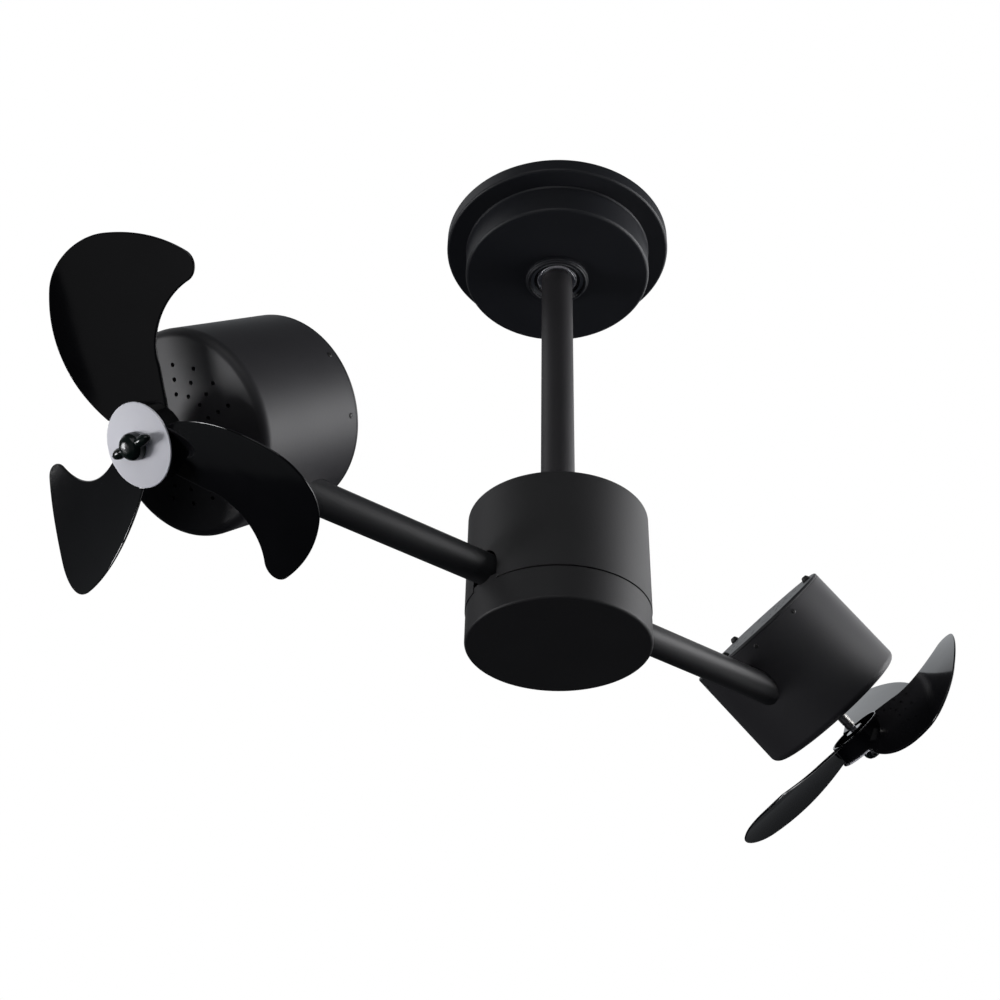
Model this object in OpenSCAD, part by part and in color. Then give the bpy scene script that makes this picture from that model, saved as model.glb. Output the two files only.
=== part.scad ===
// Twin head ceiling fan: a canopy, a turning downrod and hub, two arms and two aimed fan heads.
// Millimetres. +Z is up and z = 0 is the ceiling. The arms lie along X.

/* [Canopy] */
// Outer diameter of the ceiling plate
plate_d = 195; // [188:1:215]
// Height of the ceiling plate's rim
plate_h = 13; // [11:0.5:16]
// Outer diameter of the drum under the plate
drum_d = 160; // [150:1:168]
// Height of the drum
drum_h = 29; // [27:0.5:40]
// Sheet thickness of the pressed steel covers
sheet_t = 1.5; // [1.2:0.1:1.8]
// Distance between the two ceiling screws
screw_pitch = 89; // [82:1:94]

/* [Downrod] */
// Outer diameter of the downrod
rod_d = 26.7; // [25.4:0.1:27.2]
// Ceiling to the top of the hub
hub_drop = 303.5; // [250:0.5:500]

/* [Hub] */
// Outer diameter of the hub
hub_d = 137; // [132:1:150]
// Height of the hub casing, above the seam
casing_h = 80.5; // [78:0.5:100]
// Height of the hub cup, below the seam
cup_h = 27; // [24:0.5:40]
// Height of the arm axis above the seam
arm_rise = 13; // [12.6:0.1:15]

/* [Arms] */
// Outer diameter of the arm tubes
arm_d = 24; // [22:0.5:25]
// Hub axis to the point the left arm aims at
left_reach = 311; // [295:0.5:360]
// Hub axis to the point the right arm aims at
right_reach = 309; // [295:0.5:360]

/* [Heads] */
// Outer diameter of a fan head
head_d = 134.4; // [132:0.2:142]
// Front face to the rear rim of a head shell
shell_len = 94; // [88:0.5:105]
// Thickness of the rear lid's rim
cap_h = 3; // [2.6:0.2:6]
// Angle between the left arm and its head axis
left_angle = 42.9; // [42:0.1:52]
// Angle between the right arm and its head axis
right_angle = 42.9; // [42:0.1:52]
// Lean of the left head from straight down
left_lean = 12.2; // [0:0.1:40]
// Lean of the right head from straight down
right_lean = 14.5; // [0:0.1:40]

/* [Propellers] */
// Sweep diameter of a propeller
prop_d = 262.5; // [240:0.5:280]
// Mean blade pitch
blade_pitch = 23.5; // [22:0.5:28]
// Blade thickness
blade_t = 2.2; // [1.8:0.1:2.6]
// Diameter of the polished disc on the propeller's nose
disc_d = 53.5; // [52:0.5:58]

/* [Hidden] */
$fn = 96;
eps = 0.5;                  // how far a cut runs past a face
seat = 0.1;                 // gap between pieces that seat in each other
run = 0.05;                 // radial clearance of a running fit
air = 0.4;                  // gap between pieces that move past each other

// heights, from the ceiling down
plate_z = -plate_h;
drum_z = plate_z - drum_h;
hub_top = -hub_drop;
seam_z = hub_top - casing_h;
hub_low = seam_z - cup_h;
arm_z = seam_z + arm_rise;

// hanger inside the canopy
strap_t = 3;
strap_l = 116;
strap_w = 40;
screw_hole_r = 2.6;
housing_r = 23;
housing_bore = 20;
housing_flange_r = 34;
housing_low = drum_z - 2.5;
ledge_z = -24;
ledge_t = 4;
ledge_bore = 15;
housing_screw_r = 29;
m4_r = 2;
m4_head_r = 3.9;
m4_head_h = 2.8;
collar_r = 27.3;
collar_inner_r = housing_r + seat;
collar_low = drum_z - 5;
collar_edge = 1.5;
rod_r = rod_d / 2;
rod_bore = 10.6;
rod_top = -8;
bearing_h = 8;
bearing_low = housing_low + 0.5;
race_r = 15.7;
thrust_h = 4.6;
thrust_top = ledge_z + ledge_t + thrust_h;
thrust_collar_r = 19;
thrust_collar_h = 8;
pin_r = 2.5;
pin_l = 36;
ring_rotor_low = -34;
spindle_r = 5;
spindle_low = -32;
spindle_flange_r = 9;
spindle_flange_h = 2.5;

// hub
hub_r = hub_d / 2;
slot_r = arm_d / 2 + 1.7;
tongue_h = 3;
tongue_gap = 0.4;
cup_edge = 2;
block_l = 92;
block_w = 60;
block_top = arm_z + arm_d / 2 + 14;
block_low = arm_z - arm_d / 2 - 5;
post_x = 36;
post_r = 5;
nut_h = 8;
nut_r = 22;
rod_low = block_low - nut_h - 1.5;
arm_root = 17;
arm_wall = 1.6;
set_screw_r = 2.5;
set_screw_x = [26, 38];
capacitor = [44, 14, 24];
capacitor_y = 22;
board_r = 50;
board_t = 1.6;
lip_h = 3;

// heads, measured from the centre of the front face along the head axis
head_r = head_d / 2;
wall = 2;
face_t = 4.5;
face_edge = 6;
face_dome = 2.5;
aim_out = 9.9;              // how far in front of the face the arm's line meets the head axis
axis_off = 2.6;             // how far beside the head axis the arm's line passes
cap_edge = 2;
skirt_l = 8;                // the rear lid's skirt, inside the shell
skirt_t = 1.5;
vent_rows = 16;
vent_at = 6;
vent_r = 1.25;
vent_ring = [26, 35.3, 44.5];
cap_screw_r = 58;
cap_screw_at = [12, 132, 252];
cap_screw_head_r = 3.6;
cap_screw_head_h = 4;
cap_boss_r = 5;
cap_boss_h = 12;
rim_screw_at = [48, 85, 168, 214, 308, 344];
rim_screw_z = 5.5;          // from the shell's rear edge
rim_screw_r = 1.4;
rim_screw_head_r = 2.3;
motor_r = 41;
motor_wall = 6;
bracket_plate = 3;
core_front = -20;
core_l = 22;
core_bore = 24;
slots = 12;
slot_w = 5;
slot_out = 33.5;
coil_in = 26;
coil_out = 34;
coil_l = 9;
motor_low = -57;
bolt_ring = motor_r - motor_wall / 2;
bolt_r = 1.9;
shaft_r = 3;
shaft_back = -60;
shaft_front = 46;
bush_r = 4.2;
bush_shank_r = 3.9;
bush_l = 17.5;
bearing_r = 8;
rotor_r = core_bore - air;
boss_r = 19;
clip_r = 13.8;
clip_t = 1.5;
clip_in = 1.2;
clip_groove = 0.7;

// propeller, along the same axis
barrel_back = 21;
barrel_front = 36.5;
barrel_r = 24.3;
barrel_wall = 2;
barrel_web = 3;
prop_boss_r = 8;
prop_boss_back = barrel_back - 0.5;
drive_pin_r = 1.25;
drive_pin_l = 14;
drive_pin_z = prop_boss_back + 1.6;
disc_r = disc_d / 2;
disc_dome = 2;
disc_t = 1.2;
nut_base_r = 8.5;
nut_top_r = 6.9;
nut_edge = 1.8;
nut_l = 9.5;
ear_span = 35;
ear_t = 5;
ear_l = 5.5;
left_nut_turn = 71;
right_nut_turn = -25;

// blade planform: x runs out along the blade, y across it towards the rounded back edge
blade_k = prop_d / 260;
back_c = [73, -77.5] * blade_k;
back_r = 109.5 * blade_k;
tip_c = [29.7, 12.5] * blade_k;
tip_r = 102 * blade_k;
hollow_c = [41.6, -62.6] * blade_k;
hollow_r = 42.4 * blade_k;
shoulder_r = 33 * blade_k;
hook_r = 10 * blade_k;
root_x = 10;
blade_z = 26.5;
camber_r = 222;
left_phase = 34.3;
right_phase = 57.6;

// side is -1 for the left head and 1 for the right head
function reach(side) = side < 0 ? left_reach : right_reach;
function angle(side) = side < 0 ? left_angle : right_angle;
function lean(side) = side < 0 ? left_lean : right_lean;
function phase(side) = side < 0 ? left_phase : right_phase;
function nut_turn(side) = side < 0 ? left_nut_turn : right_nut_turn;
// distance from the aim point back along the arm to the tube's end
function tube_end(side) = (motor_r + 1 + clip_r * cos(angle(side))) / sin(angle(side));
// corner where two circles meet; turn picks the left or the right one
function meet(c1, r1, c2, r2, turn) =
    let (d = norm(c2 - c1), a = (d * d + r1 * r1 - r2 * r2) / (2 * d), u = (c2 - c1) / d)
    c1 + u * a + turn * sqrt(r1 * r1 - a * a) * [-u[1], u[0]];
function bearing(from, to) = atan2(to[1] - from[1], to[0] - from[0]);
function arc(c, r, a0, a1, n) = [for (i = [0:n]) c + r * [cos(a0 + (a1 - a0) * i / n), sin(a0 + (a1 - a0) * i / n)]];

// ---------- placing ----------

module in_head(side) {
    translate([side * reach(side), 0, arm_z])
        rotate([-lean(side), 0, 0])
            rotate([0, side * (90 + angle(side)), 0])
                rotate([0, 0, side < 0 ? 180 : 0])
                    translate([0, -axis_off, -aim_out])
                        children();
}

// the arm's line seen from inside a head: +Z runs from the aim point back to the hub
module on_arm_line(side) {
    translate([0, axis_off, aim_out])
        rotate([0, 180 - angle(side), 0])
            children();
}

module tube(outer, inner, low, high) {
    translate([0, 0, low])
        difference() {
            cylinder(r = outer, h = high - low);
            translate([0, 0, -eps])
                cylinder(r = inner, h = high - low + 2 * eps);
        }
}

module rod(r, low, high) {
    translate([0, 0, low])
        cylinder(r = r, h = high - low);
}

// ---------- canopy ----------

module ceiling_strap() {
    color("silver")
        difference() {
            translate([-strap_l / 2, -strap_w / 2, -strap_t])
                cube([strap_l, strap_w, strap_t]);
            for (s = [-1, 1]) {
                translate([s * screw_pitch / 2, 0, -strap_t - eps])
                    cylinder(r = screw_hole_r, h = strap_t + 2 * eps);
                translate([s * housing_screw_r, 0, -strap_t - eps])
                    cylinder(r = m4_r + seat, h = strap_t + 2 * eps);
            }
        }
}

module ceiling_plate() {
    color("dimgray")
        difference() {
            rod(plate_d / 2, plate_z, 0);
            rod(plate_d / 2 - sheet_t, plate_z + sheet_t, eps);
            rod(drum_d / 2 - 5, plate_z - eps, 0);
        }
}

module canopy_drum() {
    color("dimgray")
        difference() {
            rotate_extrude()
                translate([0, drum_z]) {
                    square([drum_d / 2 - 3, drum_h]);
                    translate([0, 3])
                        square([drum_d / 2, drum_h - 3]);
                    translate([drum_d / 2 - 3, 3])
                        circle(r = 3);
                }
            rod(drum_d / 2 - 3, drum_z + sheet_t, drum_z + 3);
            rod(drum_d / 2 - sheet_t, drum_z + 3, plate_z + eps);
            rod(housing_r + seat, drum_z - eps, plate_z);
        }
}

module bearing_housing() {
    color("dimgray")
        difference() {
            union() {
                rod(housing_r, housing_low, -strap_t);
                rod(housing_flange_r, -strap_t - 3, -strap_t);
            }
            rod(housing_bore, ledge_z + ledge_t, 0);
            rod(ledge_bore, ledge_z - eps, ledge_z + ledge_t + eps);
            rod(housing_bore, housing_low - eps, ledge_z);
            for (s = [-1, 1])
                translate([s * housing_screw_r, 0, 0])
                    rod(m4_r + seat, -strap_t - 3 - eps, 0);
        }
}

module housing_screws() {
    color("silver")
        for (s = [-1, 1])
            translate([s * housing_screw_r, 0, 0]) {
                rod(m4_r, -strap_t - 3 - eps, 0);
                rod(m4_head_r, -strap_t - 3 - m4_head_h, -strap_t - 3);
            }
}

module canopy_collar() {
    color("gray")
        difference() {
            rotate_extrude()
                translate([0, collar_low]) {
                    translate([0, collar_edge])
                        square([collar_r, drum_z - collar_low - collar_edge]);
                    square([collar_r - collar_edge, collar_edge]);
                    translate([collar_r - collar_edge, collar_edge])
                        circle(r = collar_edge);
                }
            rod(collar_inner_r, collar_low - eps, drum_z + eps);
        }
}

module lower_bearing_outer() {
    color("silver")
        tube(housing_bore - seat, race_r + run, bearing_low, bearing_low + bearing_h);
}

module thrust_bearing() {
    color("silver")
        tube(housing_bore - seat, rod_r + air, thrust_top - thrust_h, thrust_top);
}

module slip_ring_spindle() {
    color("gold") {
        rod(spindle_r, spindle_low, -strap_t);
        rod(spindle_flange_r, -strap_t - spindle_flange_h, -strap_t);
    }
}

// ---------- turning frame: downrod ----------

module downrod() {
    color("dimgray")
        difference() {
            rod(rod_r, rod_low, rod_top);
            rod(rod_bore, rod_low - eps, rod_top + eps);
            translate([0, 0, thrust_top + thrust_collar_h / 2])
                rotate([0, 90, 0])
                    cylinder(r = pin_r + seat, h = pin_l + 4, center = true);
        }
}

module thrust_collar() {
    color("silver")
        difference() {
            tube(thrust_collar_r, rod_r + run, thrust_top + run, thrust_top + thrust_collar_h);
            translate([0, 0, thrust_top + thrust_collar_h / 2])
                rotate([0, 90, 0])
                    cylinder(r = pin_r + seat, h = pin_l + 4, center = true);
        }
}

module rod_pins() {
    color("silver")
        difference() {
            translate([0, 0, thrust_top + thrust_collar_h / 2])
                rotate([0, 90, 0])
                    cylinder(r = pin_r, h = pin_l, center = true);
            rod(rod_bore - seat, -60, 0);
        }
}

module lower_bearing_inner() {
    color("silver")
        tube(race_r, rod_r + run, bearing_low, bearing_low + bearing_h);
}

module slip_ring_barrel() {
    color("black")
        tube(rod_bore - seat, spindle_r + run, ring_rotor_low, thrust_top - 1);
}

// ---------- turning frame: hub ----------

module arm_slots(r, low) {
    for (s = [-1, 1]) {
        translate([s * hub_r, 0, arm_z])
            rotate([0, 90, 0])
                cylinder(r = r, h = 40, center = true);
        translate([s * hub_r - 20, -r, low])
            cube([40, 2 * r, arm_z - low]);
    }
}

module hub_casing() {
    color("dimgray")
        difference() {
            rod(hub_r, seam_z, hub_top);
            rod(hub_r - sheet_t, seam_z - eps, hub_top - 2);
            rod(rod_r + seat, seam_z, hub_top + eps);
            arm_slots(slot_r, seam_z - eps);
            for (s = [-1, 1])
                translate([s * post_x, 0, 0])
                    rod(m4_r + seat, hub_top - 3, hub_top + eps);
        }
}

module hub_cup() {
    color("dimgray")
        difference() {
            union() {
                rotate_extrude()
                    translate([0, hub_low]) {
                        square([hub_r - 0.5 - cup_edge, cup_h]);
                        translate([0, cup_edge])
                            square([hub_r - 0.5, cup_h - cup_edge]);
                        translate([hub_r - 0.5 - cup_edge, cup_edge])
                            circle(r = cup_edge);
                    }
                rod(hub_r - sheet_t - seat, seam_z, seam_z + lip_h);
                intersection() {
                    rod(hub_r - 0.5, seam_z, seam_z + tongue_h);
                    translate([-hub_r, -slot_r + tongue_gap, seam_z])
                        cube([2 * hub_r, 2 * (slot_r - tongue_gap), tongue_h]);
                }
            }
            rod(hub_r - 2 * sheet_t - 1, hub_low + 2, seam_z + lip_h + eps);
            translate([0, 0, arm_z])
                rotate([0, 90, 0])
                    cylinder(r = arm_d / 2 + air, h = 3 * hub_r, center = true);
        }
}

module hub_block() {
    color("silver")
        difference() {
            union() {
                translate([-block_l / 2, -block_w / 2, block_low])
                    cube([block_l, block_w, block_top - block_low]);
                for (s = [-1, 1])
                    translate([s * post_x, 0, 0])
                        rod(post_r, block_top - 1, hub_top - 2);
            }
            rod(rod_r + run, block_low - eps, block_top + eps);
            for (s = [-1, 1]) {
                translate([s * arm_root, 0, arm_z])
                    rotate([0, s * 90, 0])
                        cylinder(r = arm_d / 2 + run, h = block_l);
                translate([s * post_x, 0, 0])
                    rod(m4_r + seat, hub_top - 16, hub_top);
                for (x = set_screw_x)
                    translate([s * x, 0, 0])
                        rod(set_screw_r + seat, block_low - eps, arm_z);
            }
        }
}

module rod_nut() {
    color("silver")
        difference() {
            translate([0, 0, block_low - nut_h])
                cylinder(r = nut_r, h = nut_h - seat, $fn = 6);
            rod(rod_r + run, block_low - nut_h - eps, block_low + eps);
        }
}

module casing_screws() {
    color("silver")
        for (s = [-1, 1])
            translate([s * post_x, 0, 0]) {
                rod(m4_r, hub_top - 14, hub_top + eps);
                rod(m4_head_r, hub_top, hub_top + m4_head_h);
            }
}

module arm_set_screws() {
    color("silver")
        for (s = [-1, 1], x = set_screw_x)
            translate([s * x, 0, 0])
                rod(set_screw_r, block_low + 0.5, arm_z - arm_d / 2 - seat);
}

module capacitors() {
    color("white")
        for (s = [-1, 1])
            translate([-capacitor[0] / 2, s * capacitor_y - capacitor[1] / 2, block_top])
                cube(capacitor);
}

module control_board() {
    board_z = block_top + capacitor[2];
    color("darkgreen")
        difference() {
            union() {
                rod(board_r, board_z, board_z + board_t);
                translate([-16, 26, board_z + board_t - 0.1])
                    cube([32, 14, 12]);
                translate([-14, -40, board_z + board_t - 0.1])
                    cube([28, 16, 9]);
            }
            rod(rod_r + 2, board_z - eps, board_z + 20);
            for (s = [-1, 1])
                translate([s * post_x, 0, 0])
                    rod(post_r + 1, board_z - eps, board_z + 20);
        }
}

// ---------- turning frame: arms ----------

module arm_tube(side) {
    far = reach(side) - tube_end(side);
    color("dimgray")
        translate([side * arm_root, 0, arm_z])
            rotate([0, side * 90, 0])
                difference() {
                    tube(arm_d / 2, arm_d / 2 - arm_wall, 0, far - arm_root);
                    tube(arm_d, arm_d / 2 - clip_groove, far - arm_root - clip_in - clip_t, far - arm_root - clip_in);
                }
}

module arm_clips() {
    color("silver")
        for (side = [-1, 1])
            translate([side * (reach(side) - tube_end(side) - clip_in), 0, arm_z])
                rotate([0, -side * 90, 0])
                    tube(clip_r, arm_d / 2 - clip_groove + run, run, clip_t - run);
}

// ---------- heads ----------

module face_outline(r, len) {
    dome_r = (r * r + face_dome * face_dome) / (2 * face_dome);
    intersection() {
        union() {
            translate([0, -len])
                square([r, len - face_edge - 1]);
            translate([0, -len])
                square([r - face_edge, len]);
            translate([r - face_edge, -face_edge - 1])
                circle(r = face_edge);
        }
        translate([0, -dome_r])
            circle(r = dome_r, $fn = 360);
    }
}

module vents(rows, low, high) {
    for (i = [0:rows - 1], r = vent_ring)
        rotate([0, 0, vent_at + i * 360 / rows])
            translate([r, 0, 0])
                rod(vent_r, low, high);
}

module head_shell(side) {
    far = tube_end(side) + clip_in + clip_t + air;
    color("dimgray")
        in_head(side)
            difference() {
                union() {
                    difference() {
                        rotate_extrude()
                            face_outline(head_r, shell_len);
                        rod(head_r - wall, -shell_len - eps, -face_t);
                    }
                    intersection() {
                        rod(head_r - wall / 2, -shell_len, -face_t + 1);
                        on_arm_line(side)
                            rod(boss_r, far, far + 60);
                    }
                    for (a = cap_screw_at)
                        rotate([0, 0, a])
                            intersection() {
                                rod(head_r - wall / 2, -shell_len, cap_boss_h - shell_len);
                                union() {
                                    translate([cap_screw_r, 0, 0])
                                        rod(cap_boss_r, -shell_len, cap_boss_h - shell_len);
                                    translate([cap_screw_r, -cap_boss_r, -shell_len])
                                        cube([head_r - cap_screw_r, 2 * cap_boss_r, cap_boss_h]);
                                }
                            }
                }
                on_arm_line(side) {
                    rod(arm_d / 2 + run, far - 20, far + 12);
                    rod(arm_d / 2 + air, far + 11, far + 80);
                }
                rod(bush_shank_r + seat, -face_t - eps, eps);
                vents(vent_rows, -face_t - eps, eps);
                for (a = cap_screw_at)
                    rotate([0, 0, a])
                        translate([cap_screw_r, 0, 0])
                            rod(m4_r + seat, -shell_len - eps, cap_boss_h - 3 - shell_len);
                rim_screw_holes(head_r - wall - eps, head_r + eps);
                on_arm_line(side)
                    translate([0, 0, far + 6])
                        rotate([0, 90, 0])
                            rod(set_screw_r + seat, 0, boss_r + 1);
            }
}

module arm_lock_screw(side) {
    far = tube_end(side) + clip_in + clip_t + air;
    color("silver")
        in_head(side)
            on_arm_line(side)
                translate([0, 0, far + 6])
                    rotate([0, 90, 0])
                        rod(set_screw_r, arm_d / 2 + air, boss_r - 1);
}

module rim_screw_holes(low, high) {
    for (a = rim_screw_at)
        rotate([0, 0, a])
            translate([0, 0, rim_screw_z - shell_len])
                rotate([0, 90, 0])
                    rod(rim_screw_r + seat, low, high);
}

// where the lid's skirt makes room for the shell's bosses
module skirt_notches() {
    for (a = cap_screw_at)
        rotate([0, 0, a])
            translate([head_r - 15, -cap_boss_r - air, -shell_len])
                cube([20, 2 * (cap_boss_r + air), skirt_l + 1]);
    translate([head_r - 15, axis_off - 12, -shell_len])
        cube([20, 22, skirt_l + 1]);
}

module rear_cap(side) {
    skirt_r = head_r - wall - seat;
    color("gray")
        in_head(side)
            difference() {
                union() {
                    rotate_extrude()
                        translate([0, -shell_len - cap_h])
                            intersection() {
                                square([head_r, cap_h]);
                                union() {
                                    translate([0, cap_edge])
                                        square([head_r, cap_h]);
                                    square([head_r - cap_edge, cap_h]);
                                    translate([head_r - cap_edge, cap_edge])
                                        circle(r = cap_edge);
                                }
                            }
                    difference() {
                        tube(skirt_r, skirt_r - skirt_t, -shell_len - eps, skirt_l - shell_len);
                        skirt_notches();
                    }
                }
                vents(vent_rows, -shell_len - cap_h - eps, eps - shell_len);
                for (a = cap_screw_at)
                    rotate([0, 0, a])
                        translate([cap_screw_r, 0, 0])
                            rod(m4_r + seat, -shell_len - cap_h - eps, eps - shell_len);
                rim_screw_holes(skirt_r - skirt_t - eps, skirt_r + eps);
            }
}

module cap_screws(side) {
    back = -shell_len - cap_h;
    color("silver")
        in_head(side) {
            for (a = cap_screw_at)
                rotate([0, 0, a])
                    translate([cap_screw_r, 0, 0]) {
                        rod(m4_r, back - eps, cap_boss_h - 5 - shell_len);
                        rod(cap_screw_head_r, back - cap_screw_head_h, back);
                    }
            for (a = rim_screw_at)
                rotate([0, 0, a])
                    translate([0, 0, rim_screw_z - shell_len])
                        rotate([0, 90, 0]) {
                            rod(rim_screw_r, head_r - wall - skirt_t - 0.5, head_r + eps);
                            rod(rim_screw_head_r, head_r, head_r + 1.2);
                        }
        }
}

// ---------- motor ----------

module bolt_holes(r) {
    for (a = [45:90:315])
        rotate([0, 0, a])
            translate([bolt_ring, 0, 0])
                rod(r, motor_low - eps, -8);
}

module motor_front(side) {
    color("silver")
        in_head(side)
            difference() {
                rod(motor_r, core_front, -face_t);
                rod(motor_r - motor_wall, core_front - eps, -face_t - bracket_plate);
                rod(bush_shank_r + run, core_front, 0);
                bolt_holes(bolt_r + seat);
            }
}

module motor_rear(side) {
    color("silver")
        in_head(side)
            difference() {
                rod(motor_r, motor_low, core_front - core_l);
                rod(motor_r - motor_wall, motor_low + bracket_plate, core_front - core_l + eps);
                rod(bearing_r + run, motor_low - eps, core_front);
                bolt_holes(bolt_r + seat);
            }
}

module stator_core(side) {
    color("gray")
        in_head(side)
            difference() {
                tube(motor_r, core_bore, core_front - core_l, core_front);
                for (i = [0:slots - 1])
                    rotate([0, 0, i * 360 / slots])
                        translate([core_bore - 1, -slot_w / 2, core_front - core_l - eps])
                            cube([slot_out - core_bore + 1, slot_w, core_l + 2 * eps]);
                bolt_holes(bolt_r + seat);
            }
}

module windings(side) {
    color("orange")
        in_head(side) {
            tube(coil_out, coil_in, core_front, core_front + coil_l);
            tube(coil_out, coil_in, core_front - core_l - coil_l, core_front - core_l);
            for (i = [0:slots - 1])
                rotate([0, 0, i * 360 / slots])
                    translate([coil_in + 0.5, -slot_w / 2 + seat, core_front - core_l - eps])
                        cube([slot_out - coil_in - 1, slot_w - 2 * seat, core_l + 2 * eps]);
        }
}

module motor_bolts(side) {
    color("silver")
        in_head(side)
            for (a = [45:90:315])
                rotate([0, 0, a])
                    translate([bolt_ring, 0, 0]) {
                        rod(bolt_r, motor_low - eps, -8.5);
                        rod(3, motor_low - 2.4, motor_low);
                    }
}

module shaft_bush(side) {
    color("silver")
        in_head(side)
            difference() {
                union() {
                    rod(bush_r, 0, bush_l);
                    rod(bush_shank_r, -16, eps);
                }
                rod(shaft_r + run, -16 - eps, bush_l + eps);
            }
}

module rear_bearing(side) {
    color("silver")
        in_head(side)
            tube(bearing_r, shaft_r + run, motor_low, motor_low + 7);
}

// ---------- rotor and propeller ----------

module rotor(side) {
    color("gray")
        in_head(side)
            tube(rotor_r, shaft_r + 0.02, core_front - core_l, core_front);
}

module shaft(side) {
    color("silver")
        in_head(side)
            difference() {
                rod(shaft_r, shaft_back, shaft_front);
                translate([0, 0, drive_pin_z])
                    rotate([0, 90, 0])
                        cylinder(r = drive_pin_r + seat, h = 20, center = true);
            }
}

module drive_pin(side) {
    color("silver")
        in_head(side)
            translate([0, 0, drive_pin_z])
                rotate([0, 90, 0])
                    cylinder(r = drive_pin_r, h = drive_pin_l, center = true);
}

module blade_outline() {
    shoulder_c = meet(back_c, back_r - shoulder_r, tip_c, tip_r - shoulder_r, -1);
    hook_c = meet(tip_c, tip_r - hook_r, hollow_c, hollow_r + hook_r, 1);
    root_a = 180 - acos((back_c[0] - root_x) / back_r);
    hook_a = bearing(hook_c, hollow_c);
    polygon(concat(
        [[root_x, -16]],
        arc(back_c, back_r, root_a, bearing(back_c, shoulder_c), 10),
        arc(shoulder_c, shoulder_r, bearing(back_c, shoulder_c), bearing(tip_c, shoulder_c), 8),
        arc(tip_c, tip_r, bearing(tip_c, shoulder_c), bearing(tip_c, hook_c), 6),
        arc(hook_c, hook_r, bearing(tip_c, hook_c), hook_a > 0 ? hook_a - 360 : hook_a, 8),
        arc(hollow_c, hollow_r, bearing(hollow_c, hook_c), 90, 10)));
}

module blade() {
    axis_y = -camber_r * sin(blade_pitch);
    axis_z = blade_z + camber_r * cos(blade_pitch);
    difference() {
        intersection() {
            linear_extrude(height = 90)
                blade_outline();
            translate([0, axis_y, axis_z])
                rotate([0, 90, 0])
                    difference() {
                        cylinder(r = camber_r, h = prop_d, $fn = 360);
                        translate([0, 0, -eps])
                            cylinder(r = camber_r - blade_t, h = prop_d + 2 * eps, $fn = 360);
                    }
        }
        rod(barrel_r - 1, 0, 90);
        rod(disc_r + 1, barrel_front - 0.5, 90);
    }
}

module propeller(side) {
    color("black")
        in_head(side)
            difference() {
                union() {
                    tube(barrel_r, barrel_r - barrel_wall, barrel_back, barrel_front);
                    rod(barrel_r - 1, barrel_front - barrel_web, barrel_front);
                    rod(prop_boss_r, prop_boss_back, barrel_front + disc_dome - 0.6);
                    for (i = [0:2])
                        rotate([0, 0, phase(side) + i * 120])
                            blade();
                }
                rod(shaft_r + 0.02, 0, 60);
                translate([-drive_pin_l / 2 - 0.5, -drive_pin_r - seat, prop_boss_back - eps])
                    cube([drive_pin_l + 1, 2 * (drive_pin_r + seat), drive_pin_z - prop_boss_back + eps]);
                translate([0, 0, drive_pin_z])
                    rotate([0, 90, 0])
                        cylinder(r = drive_pin_r + seat, h = drive_pin_l + 1, center = true);
            }
}

module nose_disc(side) {
    cap_r = (disc_r * disc_r + disc_dome * disc_dome) / (2 * disc_dome);
    color("lightgray")
        in_head(side)
            difference() {
                rotate_extrude()
                    intersection() {
                        translate([0, barrel_front])
                            square([disc_r, disc_dome + 1]);
                        translate([0, barrel_front + disc_dome + disc_t - cap_r])
                            difference() {
                                circle(r = cap_r, $fn = 360);
                                circle(r = cap_r - disc_t, $fn = 360);
                            }
                    }
                rod(shaft_r + seat, 0, 60);
            }
}

module wing_nut(side) {
    base = barrel_front + disc_dome + disc_t;
    color("black")
        in_head(side)
            difference() {
                union() {
                    translate([0, 0, base])
                        cylinder(r1 = nut_base_r, r2 = nut_top_r, h = nut_l - nut_edge);
                    translate([0, 0, base + nut_l - nut_edge])
                        cylinder(r1 = nut_top_r, r2 = nut_top_r - nut_edge, h = nut_edge);
                    rotate([0, 0, nut_turn(side)])
                        intersection() {
                            translate([-ear_span / 2, -ear_t / 2, base + 0.3])
                                cube([ear_span, ear_t, ear_l]);
                            rod(ear_span / 2, base, base + 20);
                        }
                }
                rod(shaft_r + 0.02, 0, shaft_front + seat);
            }
}

ceiling_strap();
ceiling_plate();
canopy_drum();
bearing_housing();
housing_screws();
canopy_collar();
lower_bearing_outer();
thrust_bearing();
slip_ring_spindle();
downrod();
thrust_collar();
rod_pins();
lower_bearing_inner();
slip_ring_barrel();
hub_casing();
hub_cup();
hub_block();
rod_nut();
casing_screws();
arm_set_screws();
capacitors();
control_board();
arm_tube(-1);  // left_arm
arm_tube(1);  // right_arm
arm_clips();
head_shell(-1);  // left_head_shell
arm_lock_screw(-1);  // left_arm_lock_screw
rear_cap(-1);  // left_rear_cap
cap_screws(-1);  // left_cap_screws
shaft_bush(-1);  // left_shaft_bush
motor_front(-1);  // left_motor_front
motor_rear(-1);  // left_motor_rear
stator_core(-1);  // left_stator_core
windings(-1);  // left_windings
motor_bolts(-1);  // left_motor_bolts
rear_bearing(-1);  // left_rear_bearing
rotor(-1);  // left_rotor
shaft(-1);  // left_shaft
drive_pin(-1);  // left_drive_pin
propeller(-1);  // left_propeller
nose_disc(-1);  // left_nose_disc
wing_nut(-1);  // left_wing_nut
head_shell(1);  // right_head_shell
arm_lock_screw(1);  // right_arm_lock_screw
rear_cap(1);  // right_rear_cap
cap_screws(1);  // right_cap_screws
shaft_bush(1);  // right_shaft_bush
motor_front(1);  // right_motor_front
motor_rear(1);  // right_motor_rear
stator_core(1);  // right_stator_core
windings(1);  // right_windings
motor_bolts(1);  // right_motor_bolts
rear_bearing(1);  // right_rear_bearing
rotor(1);  // right_rotor
shaft(1);  // right_shaft
drive_pin(1);  // right_drive_pin
propeller(1);  // right_propeller
nose_disc(1);  // right_nose_disc
wing_nut(1);  // right_wing_nut
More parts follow.
